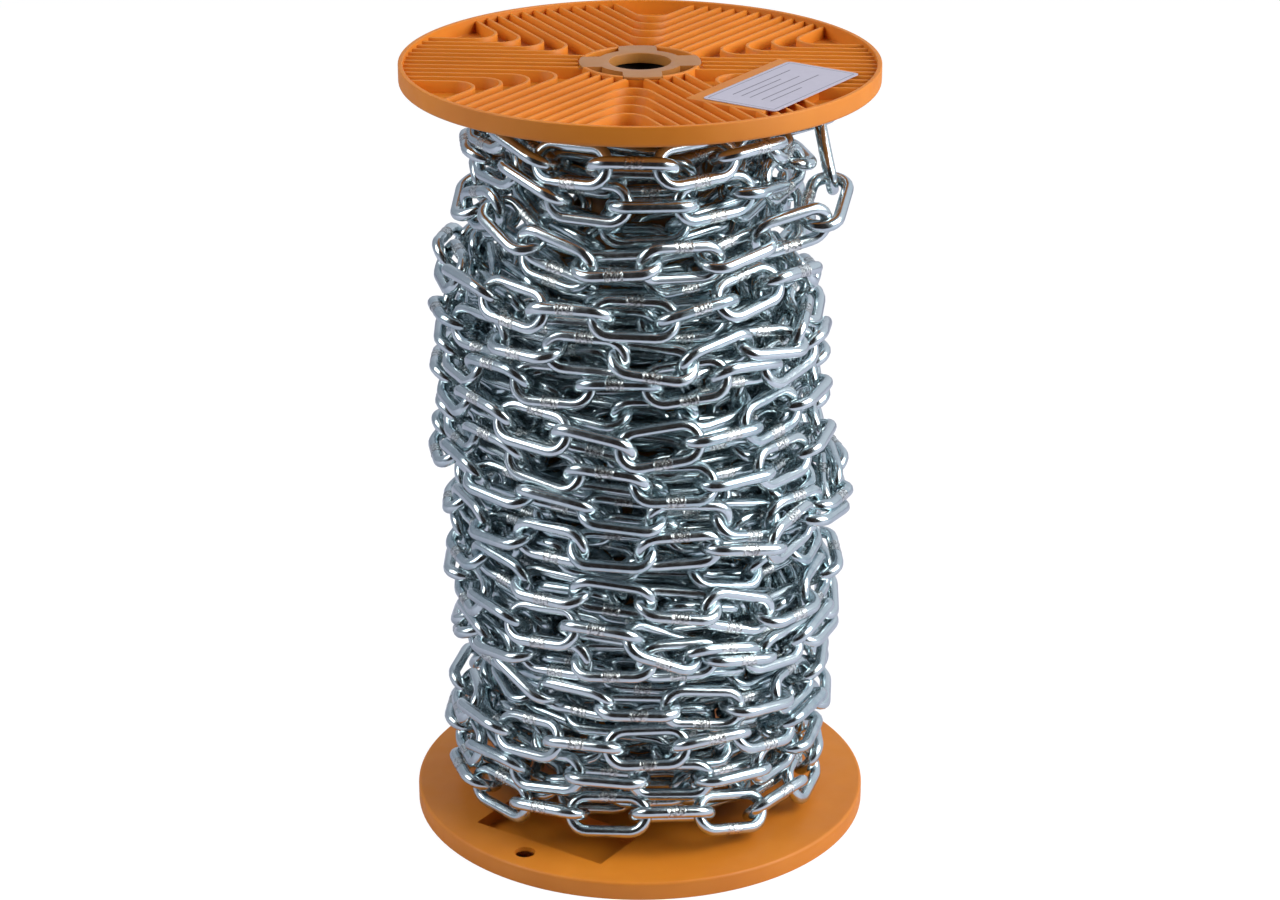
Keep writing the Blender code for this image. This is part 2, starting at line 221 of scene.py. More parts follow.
# The middle of a link's wire, the corners of eight straight pieces that stand for it, and the turn
# that puts its weld on the other leg
WIRE_REACH = (LINK_WIDTH - WIRE) / 2
WIRE_STRAIGHT = (LINK_LENGTH - LINK_WIDTH) / 2
BEND_SHARE = 0.92
WIRE_BEND = WIRE_STRAIGHT + BEND_SHARE * WIRE_REACH
LEFT_CORNERS = np.array((
    (WIRE_STRAIGHT, WIRE_REACH),
    (-WIRE_STRAIGHT, WIRE_REACH),
    (-WIRE_BEND, WIRE_REACH / 2),
    (-WIRE_BEND, -WIRE_REACH / 2),
))
WIRE_CORNERS = np.concatenate((LEFT_CORNERS, -LEFT_CORNERS))
HALF_TURN = np.diag((-1.0, -1.0, 1.0, 1.0))

# How links are pushed clear of each other: what their pitch and twist may shrink to, how far the
# winding is swollen at first, the steps, and the share of the way that a step pulls and pushes them
LEAST_PITCH = 26.2 * MM
LEAST_TWIST = 58.0 * DEGREE
SWELLING = 9.0 * MM
SETTLE_STEPS = 420
STEPS_PER_SEARCH = 8
HOME_PULL = 0.02
HOME_EASING = 0.8
PUSH = 1.6
LEAST_DISTANCE = WIRE / 1000
NEARLY_PARALLEL = 1e-4

# The camera, fitted to the four rim ellipses of the photograph
CAMERA_PLACE = (0.0, -1271.1 * MM, 684.9 * MM)
CAMERA_TILT = 67.787 * DEGREE
CAMERA_LENS = 88.9

# The studio, as the chain mirrors it: how far the table reaches in front of the reel, how the dark
# room behind the camera gives way to the pale walls on either side and behind the reel, and the walls
# to the ceiling, each by the direction's own length of 1
TABLE_FRONT = 0.45
TABLE_SIZE = 6.0
FLOOR_GLOW = 1.18
GLOW_SHARE = 0.8
SIDES_FROM = (0.50, 0.85)
BACK_FROM = (-0.40, 0.0)
CEILING_FROM = (0.84, 0.94)
WALLS_CHANGE = (-0.5, 0.5)

# The softboxes, with their places and sizes in metres and their brightness
SOFTBOXES = (
    ("right softbox", (1.10, -0.42, 0.92), (1.0, 1.1), 5.6),
    ("left softbox", (-1.10, -0.36, 1.00), (0.8, 0.9), 4.1),
)

# Colours
ORANGE = (0.74, 0.240, 0.015, 1.0)
DEEP_ORANGE = (0.66, 0.200, 0.010, 1.0)
OCHRE = (0.50, 0.21, 0.050, 1.0)
DEEP_OCHRE = (0.42, 0.165, 0.032, 1.0)
# The two near-black ochres of the bore are painted shade, where the inside of the barrel lies in shadow
PAINTED_SHADE_OCHRE = (0.020, 0.010, 0.006, 1.0)
DEEP_PAINTED_SHADE_OCHRE = (0.012, 0.007, 0.005, 1.0)
ZINC = (0.66, 0.74, 0.76, 1.0)
# The bluer, darker zinc is the zinc's own tone on the outer links, and painted shade on the deeper layers,
# which never turn pale
BLUE_ZINC_AND_PAINTED_SHADE = (0.44, 0.56, 0.60, 1.0)
WELD_ZINC = (0.86, 0.88, 0.85, 1.0)
DARK_WELD = (0.22, 0.23, 0.22, 1.0)
PAPER = (0.50, 0.47, 0.55, 1.0)
PALE_PAPER = (0.55, 0.52, 0.60, 1.0)
PRINT = (0.16, 0.15, 0.19, 1.0)
FLOOR = (0.64, 0.63, 0.72, 1.0)
WHITE = (1.0, 1.0, 1.0, 1.0)
LEFT_WALL = (0.32, 0.35, 0.41, 1.0)
RIGHT_WALL = (0.66, 0.70, 0.78, 1.0)
CEILING = (0.14, 0.17, 0.20, 1.0)
DARK_ROOM = (0.022, 0.017, 0.016, 1.0)

# How many clouds, patches, grains, lines or pits of a surface lie side by side in a metre
PLASTIC_CLOUDS = 28.0
PLASTIC_PATCHES = 90.0
PLASTIC_GRAIN = 1400.0
ZINC_CLOUDS = 160.0
ZINC_PATCHES = 420.0
DRAWN_LINES = 1500.0
LINE_STRETCH = (0.12, 1.0, 1.0)
WELD_SPECKLE = 1100.0
PAPER_GRAIN = 350.0

# Roughness, as one value or as the range from patch to patch, and gloss
ORANGE_ROUGHNESS = 0.5
OCHRE_ROUGHNESS = 0.36
OCHRE_COAT = 0.1
COAT_ROUGHNESS = 0.2
BORE_ROUGHNESS = 0.6
PATCH_ROUGHNESS = (-0.05, 0.08)
ZINC_ROUGHNESS = (0.13, 0.27)
WELD_ROUGHER = (0.0, 0.04)
PAPER_ROUGHNESS = (0.42, 0.56)
FLOOR_ROUGHNESS = 0.7

# Light that passes into the plastic: its share, and how far it goes by colour
DEPTH_SHARE = 0.08
DEPTH_BY_COLOUR = (1.0, 0.4, 0.1)
DEPTH = 1.5 * MM

# Relief of the surfaces, as its strength and depth, and how much of the zinc's are lines and pits
PLASTIC_RELIEF = (0.12, 0.05 * MM)
ZINC_RELIEF = (1.0, 0.03 * MM)
PAPER_RELIEF = (0.1, 0.03 * MM)
LINE_RELIEF = 0.25
PIT_RELIEF = 8.0

# How the zinc changes: the tints over which a link grows pale and how pale, how much of the weld's
# colour shows, and where its speckle turns from dark to pale
ALL = (0.0, 1.0)
TINTS = (0.0, 0.6)
PALE_SHARES = (0.0, 0.9)
WELD_SHARES = (0.0, 0.8)
SPECKLE_FROM = (0.40, 0.55)


def new_object(name, data):
    obj = bpy.data.objects.new(name, data)
    bpy.context.scene.collection.objects.link(obj)
    return obj


def built_object(name, bm):
    """An object with the mesh that has been built."""
    mesh = bpy.data.meshes.new(name)
    bm.to_mesh(mesh)
    bm.free()
    return new_object(name, mesh)


def grid_faces(rings, around):
    """Quads between rings of points, each ring joined to the next, and the last to the first."""
    ring, point = np.meshgrid(np.arange(rings), np.arange(around), indexing="ij")
    after = (ring + 1) % rings
    beside = (point + 1) % around
    quads = (ring * around + point, after * around + point, after * around + beside, ring * around + beside)
    return np.stack(quads, axis=-1).reshape(-1, 4)


def clothe(mesh, *materials):
    mesh.materials.clear()
    for material in materials:
        mesh.materials.append(material)


def smooth(mesh):
    mesh.shade_smooth()
    mesh.set_sharp_from_angle(angle=SHARP_ANGLE)


def combine(obj, other, operation):
    """Join another object to this one, or cut it out, and remove the other."""
    modifier = obj.modifiers.new(operation.lower(), "BOOLEAN")
    modifier.operation = operation
    modifier.solver = "EXACT"
    modifier.object = other
    evaluated = obj.evaluated_get(bpy.context.evaluated_depsgraph_get())
    mesh = bpy.data.meshes.new_from_object(evaluated)
    obj.modifiers.clear()
    obj.data = mesh
    bpy.data.objects.remove(other, do_unlink=True)


def rounded(outline, radii, steps=EDGE_STEPS):
    """A closed outline with its corners rounded, all by one radius or each by its own."""
    found = []
    for i, (corner, radius) in enumerate(zip(outline, np.broadcast_to(radii, len(outline)))):
        corner = Vector(corner)
        before = Vector(outline[i - 1]) - corner
        after = Vector(outline[(i + 1) % len(outline)]) - corner
        cut = min(radius, before.length * CORNER_SHARE, after.length * CORNER_SHARE)
        start = corner + before.normalized() * cut
        end = corner + after.normalized() * cut
        for step in range(steps + 1):
            share = step / steps
            found.append(start * (1 - share) ** 2 + corner * 2 * share * (1 - share) + end * share**2)
    return found


def outward(obj):
    """Turn an object's faces to face outwards."""
    bm = bmesh.new()
    bm.from_mesh(obj.data)
    bmesh.ops.recalc_face_normals(bm, faces=bm.faces)
    bm.to_mesh(obj.data)
    bm.free()
    return obj


def turned(name, outline, segments):
    """Turn a closed outline of (radius, height) points about the Z axis."""
    rings = []
    for i in range(segments):
        angle = 2 * math.pi * i / segments
        rings.extend((r * math.cos(angle), r * math.sin(angle), z) for r, z in outline)
    mesh = bpy.data.meshes.new(name)
    mesh.from_pydata(rings, [], grid_faces(segments, len(outline)).tolist())
    return outward(new_object(name, mesh))


def box_object(name, low, high, bevel=0.0):
    low = Vector(low)
    high = Vector(high)
    bm = bmesh.new()
    place = Matrix.Translation((low + high) / 2) @ Matrix.Diagonal((high - low).to_4d())
    bmesh.ops.create_cube(bm, size=1.0, matrix=place)
    if bevel:
        bmesh.ops.bevel(bm, geom=bm.edges[:], offset=bevel, segments=EDGE_STEPS, profile=0.5, affect="EDGES")
    return built_object(name, bm)


def dress(piece, node):
    """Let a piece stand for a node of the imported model."""
    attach(piece, "root")
    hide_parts(node)


# Flanges


def on_plan(angle, along, across):
    """A point on the plan, measured along and across the direction of an angle."""
    return Matrix.Rotation(angle, 2) @ Vector((along, across))


def reach(radius, offset):
    """How far along a line, this far beside the middle, a circle is met."""
    return math.sqrt(radius * radius - offset * offset)


def straight_rib(angle, offset):
    radii = (BOSS_RADIUS - BOSS_WALL / 2, FLANGE_RADIUS - RIM_WALL / 2)
    return [on_plan(angle, reach(radius, offset), offset) for radius in radii]


def bent_rib(angle, offset):
    """Two ribs that meet at a rounded bend on the border at this angle."""
    half = math.pi / SECTORS
    border = reach(FLANGE_RADIUS - RIM_WALL / 2, offset)
    start = on_plan(angle - half, border, offset)
    end = on_plan(angle + half, border, -offset)
    centre = (offset + BEND_RADIUS) / math.sin(half)
    bend = []
    for i in range(BEND_STEPS + 1):
        swing = (math.pi / 2 - half) * (2 * i / BEND_STEPS - 1)
        bend.append(on_plan(angle, centre - BEND_RADIUS * math.cos(swing), BEND_RADIUS * math.sin(swing)))
    return [start, *bend, end]


def rib_paths():
    step = 2 * math.pi / SECTORS
    for sector in range(SECTORS):
        for i in range(STRAIGHT_RIBS):
            yield straight_rib((sector + 0.5) * step, RIB_STEP * (i + 0.5 - STRAIGHT_RIBS / 2))
        for i in range(BENT_RIBS):
            yield bent_rib(sector * step, RIB_STEP * (i + 0.5 + STRAIGHT_RIBS / 2))


def rib_section():
    """The outline of a rib across its length: a little wider at the foot, with its top edges rounded."""
    top = RIB_WALL / 2
    foot = top + RIB_DRAFT
    outline = [(-foot, WEB / 2), (foot, WEB / 2), (top, RIB_TOP - RIB_CORNER)]
    outline += [(top - RIB_CORNER_MIDDLE, RIB_TOP - RIB_CORNER_MIDDLE), (top - RIB_CORNER, RIB_TOP)]
    return outline + [(-across, height) for across, height in reversed(outline[2:])]


def add_rib(bm, path, section):
    """Sweep the section along a path on the plan."""
    rings = []
    for i, point in enumerate(path):
        before = (point - path[max(i - 1, 0)]).normalized()
        after = (path[min(i + 1, len(path) - 1)] - point).normalized()
        along = (before + after).normalized()
        side = Vector((-along.y, along.x))
        stretch = 1 / max(side.dot(Vector((-after.y, after.x))), LEAST_MITRE) if after.length else 1.0
        ring = []
        for across, height in section:
            spot = point + side * across * stretch
            ring.append(bm.verts.new((spot.x, spot.y, height)))
        rings.append(ring)
    for ring, following in zip(rings, rings[1:]):
        for i in range(len(section)):
            bm.faces.new((ring[i - 1], ring[i], following[i], following[i - 1]))
    bm.faces.new(rings[0])
    bm.faces.new(reversed(rings[-1]))


def flange_ribs():
    bm = bmesh.new()
    section = rib_section()
    for path in rib_paths():
        add_rib(bm, path, section)
    bmesh.ops.recalc_face_normals(bm, faces=bm.faces)
    return built_object("ribs", bm)


def hole_cutter():
    bm = bmesh.new()
    bmesh.ops.create_cone(
        bm, cap_ends=True, segments=HOLE_SEGMENTS, radius1=HOLE_RADIUS, radius2=HOLE_RADIUS,
        depth=4 * WEB, matrix=Matrix.Translation((HOLE_CENTRE, 0, WEB / 2)),
    )
    return built_object("hole", bm)


def flange_mesh():
    """A flange with its smooth face on Z = 0 and its ribs above, the panel toward +X."""
    rim_inside = FLANGE_RADIUS - RIM_WALL
    boss_inside = BOSS_RADIUS - BOSS_WALL
    profile = (
        (boss_inside, 0), (FLANGE_RADIUS, 0), (FLANGE_RADIUS, FLANGE_HEIGHT), (rim_inside, FLANGE_HEIGHT),
        (rim_inside, WEB), (BOSS_RADIUS, WEB), (BOSS_RADIUS, BOSS_TOP), (boss_inside, BOSS_TOP),
    )
    edges = [SHOULDER if corner == (FLANGE_RADIUS, 0) else EDGE for corner in profile]
    flange = turned("flange", rounded(profile, edges, SHOULDER_STEPS), FLANGE_SEGMENTS)
    combine(flange, flange_ribs(), "UNION")
    low = (PANEL_INNER, -PANEL_HALF, WEB / 3)
    panel = box_object("panel", low, (PANEL_OUTER, PANEL_HALF, PANEL_TOP), EDGE / 2)
    combine(flange, panel, "UNION")
    low = (WINDOW_INNER, -WINDOW_HALF, -WEB)
    window = box_object("window", low, (WINDOW_OUTER, WINDOW_HALF, WINDOW_DEPTH))
    combine(flange, window, "DIFFERENCE")
    combine(flange, hole_cutter(), "DIFFERENCE")
    mesh = flange.data
    bpy.data.objects.remove(flange, do_unlink=True)
    smooth(mesh)
    return mesh


def spoke_box(inner, outer, half_width, low, high, quarter):
    """A box along one of the four spokes of the barrel."""
    spoke = box_object("spoke", (inner, -half_width, low), (outer, half_width, high))
    spoke.data.transform(Matrix.Rotation(quarter * math.pi / 2 + SPOKE_TURN, 4, "Z"))
    return spoke


def cut_notches(flange, height):
    """Cut the four notches for the barrel's lugs into the boss, whose end is at this height."""
    half_width = SPOKE_WIDTH / 2 + FIT_GAP / 2
    outer = BOSS_RADIUS + FIT_GAP
    for quarter in range(4):
        notch = spoke_box(TUBE_RADIUS, outer, half_width, height - LUG_DEPTH, height + LUG_DEPTH, quarter)
        combine(flange, notch, "DIFFERENCE")
    smooth(flange.data)


def make_flanges(material):
    mesh = flange_mesh()
    clothe(mesh, material)
    for name, node, height, turn, flip in (
        ("upper_flange", "flange_top", REEL_HEIGHT - FLANGE_HEIGHT, TOP_PANEL_ANGLE, False),
        ("lower_flange", "flange_bottom", FLANGE_HEIGHT, BOTTOM_PANEL_ANGLE, True),
    ):
        flange = new_object(name, mesh.copy())
        place = Matrix.Translation((0, 0, height)) @ Matrix.Rotation(turn, 4, "Z")
        flange.data.transform(place @ Matrix.Rotation(math.pi * flip, 4, "X"))
        cut_notches(flange, height - BOSS_TOP if flip else height + BOSS_TOP)
        dress(flange, node)


# Sticker and barrel


def make_label(material):
    width = LABEL_OUTER - LABEL_INNER
    quadrants = ((-1, -1), (1, -1), (1, 1), (-1, 1))
    corners = [(x * width / 2, y * LABEL_LENGTH / 2) for x, y in quadrants]
    outline = rounded(corners, LABEL_CORNER, LABEL_CORNER_STEPS)
    bm = bmesh.new()
    lower = [bm.verts.new((x, y, 0)) for x, y in outline]
    face = bm.faces.new(lower)
    raised = bmesh.ops.extrude_face_region(bm, geom=[face])["geom"]
    upper = [item for item in raised if isinstance(item, bmesh.types.BMVert)]
    bmesh.ops.translate(bm, verts=upper, vec=(0, 0, LABEL_THICKNESS))
    bmesh.ops.recalc_face_normals(bm, faces=bm.faces)
    label = built_object("blank_sticker", bm)
    smooth(label.data)
    clothe(label.data, material)
    height = REEL_HEIGHT - FLANGE_HEIGHT + PANEL_TOP + LABEL_GAP
    middle = Matrix.Translation((LABEL_INNER + width / 2, 0, height))
    label.matrix_world = Matrix.Rotation(TOP_PANEL_ANGLE, 4, "Z") @ middle
    dress(label, "label")


def barrel_slots():
    """The four long hollows of the barrel."""
    low = -FLANGE_HEIGHT
    high = REEL_HEIGHT + FLANGE_HEIGHT
    sleeve_inside = BOSS_RADIUS - BOSS_WALL
    outline = ((TUBE_RADIUS, low), (sleeve_inside, low), (sleeve_inside, high), (TUBE_RADIUS, high))
    slots = turned("slots", outline, BARREL_SEGMENTS)
    for quarter in range(4):
        spoke = spoke_box(TUBE_BORE, 2 * BOSS_RADIUS, SPOKE_WIDTH / 2, 2 * low, 2 * high, quarter)
        combine(slots, spoke, "DIFFERENCE")
    return slots


def barrel_lug(low, high, quarter):
    """A flat lug that lies in a notch of the boss, with its outer end round the boss's border."""
    outline = ((TUBE_RADIUS - WEB, low), (BOSS_RADIUS, low), (BOSS_RADIUS, high), (TUBE_RADIUS - WEB, high))
    lug = turned("lug", rounded(outline, EDGE / 2), BARREL_SEGMENTS)
    half_width = SPOKE_WIDTH / 2 - FIT_GAP / 2
    box = spoke_box(TUBE_BORE, 2 * BOSS_RADIUS, half_width, low - WEB, high + WEB, quarter)
    combine(lug, box, "INTERSECT")
    return lug


def make_barrel(material, painted_shade_material):
    """The barrel, with a neck and lugs at each end, and a wide bore behind the lips of its ends.

    The bore between the lips is painted near-black ochre: painted shade.
    """
    end = FLANGE_HEIGHT - BOSS_TOP
    neck = BOSS_RADIUS - BOSS_WALL - FIT_GAP
    shoulder = FLANGE_HEIGHT + FIT_GAP
    lip = end + BORE_LIP
    undercut = TUBE_BORE + BORE_UNDERCUT
    bore = ((undercut, REEL_HEIGHT - lip), (undercut, lip))
    lower_end = ((TUBE_BORE, lip), (TUBE_BORE, end), (neck, end), (neck, shoulder), (BOSS_RADIUS, shoulder))
    upper_end = [(radius, REEL_HEIGHT - height) for radius, height in reversed(lower_end)]
    barrel = turned("barrel_moulding", rounded((*bore, *lower_end, *upper_end), EDGE), BARREL_SEGMENTS)
    combine(barrel, barrel_slots(), "DIFFERENCE")
    depth = LUG_DEPTH - FIT_GAP / 2
    for low in (end, REEL_HEIGHT - end - depth):
        for quarter in range(4):
            combine(barrel, barrel_lug(low, low + depth, quarter), "UNION")
    smooth(barrel.data)
    # The faces of the wide bore between the lips take the second material, painted shade in near-black ochre
    clothe(barrel.data, material, painted_shade_material)
    for face in barrel.data.polygons:
        in_painted_shade_span = lip < face.center.z < REEL_HEIGHT - lip
        face.material_index = int(in_painted_shade_span and face.center.xy.length < undercut + WEB / 2)
    dress(barrel, "barrel")


# Chain


def unit(vectors):
    return vectors / np.linalg.norm(vectors, axis=1)[:, None]


def dot(first, second):
    return (first * second).sum(axis=1)


def link_line(end_steps, leg_steps, weld):
    """Points round the middle of the wire, and how much of the weld's swelling and ridges each has."""
    swing = np.linspace(np.pi / 2, 3 * np.pi / 2, end_steps + 1)
    round_end = np.stack((np.cos(swing), np.sin(swing)), axis=1)
    fuller = np.sign(round_end) * np.abs(round_end) ** (2 / END_FULLNESS)
    left = fuller * WIRE_REACH - (WIRE_STRAIGHT, 0)
    plain = np.linspace(-WIRE_STRAIGHT, WIRE_STRAIGHT, leg_steps + 1)[1:-1]
    leg = plain[::-1]
    if weld:
        edge = np.array(WELD_EDGE_RINGS) * MM
        inside = np.array(WELD_INNER_RINGS) * MM
        leg = np.concatenate((edge - WELD_HALF, inside, edge + WELD_HALF))[::-1]
    upper = np.stack((leg, np.full_like(leg, WIRE_REACH)), axis=1)
    lower = np.stack((plain, np.full_like(plain, -WIRE_REACH)), axis=1)
    spots = np.concatenate((upper, left, lower, -left))
    shares = np.zeros((len(spots), 2))
    if weld:
        shares[: len(leg), 0] = np.abs(leg) < WELD_HALF
        shares[: len(leg), 1] = np.abs(np.abs(leg) - WELD_HALF) < WELD_CREST
    return spots, shares


def link_shape(end_steps, leg_steps, around, weld, seed):
    """One link as arrays: its points, its faces, and how much of the weld each point has."""
    spots, weld_shares = link_line(end_steps, leg_steps, weld)
    along = unit(np.roll(spots, -1, axis=0) - np.roll(spots, 1, axis=0))
    side = np.stack((along[:, 1], -along[:, 0]), axis=1)
    angle = 2 * np.pi * np.arange(around) / around
    uneven = WELD_ROUGHNESS * np.random.default_rng(seed).normal(size=(len(spots), around))
    swelling = weld_shares[:, 1:2] * WELD_RIDGE + weld_shares[:, :1] * (WELD_SWELL + uneven)
    radius = WIRE / 2 + swelling
    points = np.zeros((len(spots), around, 3))
    points[:, :, :2] = spots[:, None] + side[:, None] * (radius * np.cos(angle))[:, :, None]
    points[:, :, 2] = radius * np.sin(angle)
    faces = grid_faces(len(spots), around)[:, ::-1]
    return points.reshape(-1, 3), faces, np.repeat(weld_shares.max(axis=1), around)


# The chain's course


def at(angle, radius, height):
    return Vector((radius * math.cos(angle), radius * math.sin(angle), height))


def smooth_step(share):
    share = min(max(share, 0.0), 1.0)
    return share * share * (3 - 2 * share)


def winding_radius(angle, height):
    """How far out the outermost joints lie. The winding is round in front and uneven at its sides."""
    front = WIND_RADIUS + BELLY * math.exp(-(((height - BELLY_HEIGHT) / BELLY_SPREAD) ** 2))
    side = math.cos(angle)
    heights, radii = zip(*(RIGHT_SIDE if side > 0 else LEFT_SIDE))
    beside = float(np.interp(height / MM, heights, radii)) * MM
    return front + (beside - front) * side * side


def front_height(row, angle):
    """The height of a place among the rows of the outermost layer, in the direction of an angle."""
    bearing = math.degrees(math.remainder(angle - FRONT_ANGLE, 2 * math.pi))
    heights = [np.interp(bearing, *zip(*joints)) for joints in FRONT_ROWS]
    return float(np.interp(row, range(TURNS), heights)) * MM


def bridge(start, end):
    """Joints between two others, given by angle and height, an even pitch apart or a little less."""
    radius = winding_radius((start[0] + end[0]) / 2, (start[1] + end[1]) / 2)
    count = math.ceil((end[0] - start[0]) * radius / LINK_PITCH)
    found = []
    for i in range(1, count):
        share = i / count
        height = start[1] + (end[1] - start[1]) * smooth_step(share)
        found.append((start[0] + (end[0] - start[0]) * share, height))
    return found


def outer_course():
    """The outermost layer's joints by angle and height, and where along it each row's front begins."""
    rows = []
    for row, joints in enumerate(FRONT_ROWS):
        turn = 2 * math.pi * row + FRONT_ANGLE
        rows.append([(turn + math.radians(bearing), height * MM) for bearing, height in joints])
    start = (TURN_CUT, rows[0][0][1])
    course = [start, *bridge(start, rows[0][0])]
    row_starts = []
    for row, following in zip(rows, rows[1:] + [None]):
        row_starts.append(len(course))
        course += row
        if following:
            course += bridge(row[-1], following[0])
    end = (2 * math.pi * (TURNS - 1) + LOOP_TOP[0], LOOP_TOP[2])
    course += [*bridge(course[-1], end), end]
    return course, row_starts


def eased_rolls(count, starts, rolls):
    """Rolls for a run of links: each a quarter turn from the one before, and as given at the starts."""
    twists = []
    for start, roll in zip(starts, rolls):
        twist = roll + 90.0 * start
        last = twists[-1] if twists else twist
        twists.append(last + math.remainder(twist - last, 180.0))
    links = np.arange(count)
    twist = np.interp(links, starts, twists)
    return np.radians(np.mod(twist - 90.0 * links + 90.0, 180.0) - 90.0)


def deeper_course(depth, rows, lowest, highest, sense, start_angle):
    """The joints of a layer under the outermost one, which lies level, then climbs to its next row."""
    course = []
    turn = 0.0
    spacing = (highest - lowest) / (rows - 1)
    while turn < rows - 1 + STEP_START:
        row = math.floor(turn)
        angle = start_angle + sense * 2 * math.pi * turn
        climb = smooth_step((turn - row - STEP_START) / (1 - STEP_START))
        height = front_height(lowest + spacing * (row + climb), angle)
        height += ROW_WAVE * math.sin(ROW_WAVE_RATE * turn + start_angle)
        radius = max(winding_radius(angle, height) - depth, LEAST_RADIUS)
        radius += SLOW_UNEVENNESS * math.sin(SLOW_RATE * turn + start_angle)
        course.append(at(angle, radius, height))
        turn += LINK_PITCH / (2 * math.pi * radius)
    return course


def wandering_rolls(count, phase):
    """Rolls to one side and the other in turn, with a lean that wanders along the chain."""
    links = np.arange(count)
    return np.where(links % 2, ROLL, -ROLL) + WANDER * np.sin(WANDER_RATE * links + phase)


def nearest_spots(begin, finish, pieces):
    """The spots on each pair of straight pieces that are nearest each other."""
    one, piece, other, other_piece = pieces
    start = begin[one, piece]
    other_start = begin[other, other_piece]
    course = finish[one, piece] - start
    other_course = finish[other, other_piece] - other_start
    gap = start - other_start
    length = dot(course, course)
    other_length = dot(other_course, other_course)
    leaning = dot(course, other_course)
    gap_along = dot(course, gap)
    gap_along_other = dot(other_course, gap)
    spread = length * other_length - leaning**2
    least = NEARLY_PARALLEL * length * other_length
    share = (leaning * gap_along_other - gap_along * other_length) / np.maximum(spread, least)
    share = np.clip(np.where(spread > least, share, 0.5), 0.0, 1.0)
    other_share = np.clip((leaning * share + gap_along_other) / other_length, 0.0, 1.0)
    share = np.clip((leaning * other_share - gap_along) / length, 0.0, 1.0)
    return start + share[:, None] * course, other_start + other_share[:, None] * other_course


